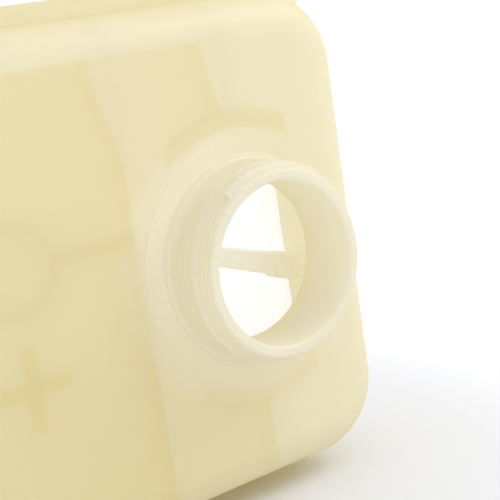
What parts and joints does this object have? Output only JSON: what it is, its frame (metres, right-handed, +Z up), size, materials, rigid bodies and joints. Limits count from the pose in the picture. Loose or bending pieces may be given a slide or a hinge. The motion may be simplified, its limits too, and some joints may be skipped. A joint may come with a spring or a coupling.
{
  "type": "coolant expansion tank",
  "caption": "Two-shell moulded coolant tank lying on its broad side: threaded filler neck without a cap, inner baffles, weld flange with sleeved lugs, hose nipples.",
  "frame": {"origin": "on the filler neck's axis, in the outer face that the neck stands on", "axes": "+X along the tank towards the end that is near the neck, -Y out of the neck, +Z up as the tank lies on its broad side"},
  "size_m": [0.2462, 0.1568, 0.1755],
  "materials": {
    "cream_shell": "translucent cream moulding, satin",
    "pale_shell": "translucent natural moulding, satin",
    "sleeve_steel": "turned, plated"
  },
  "bodies": {
    "root": {"upper_shell": "cream_shell", "lower_shell": "pale_shell", "lug_sleeve_1": "sleeve_steel", "lug_sleeve_2": "sleeve_steel"}
  },
  "joints": []
}
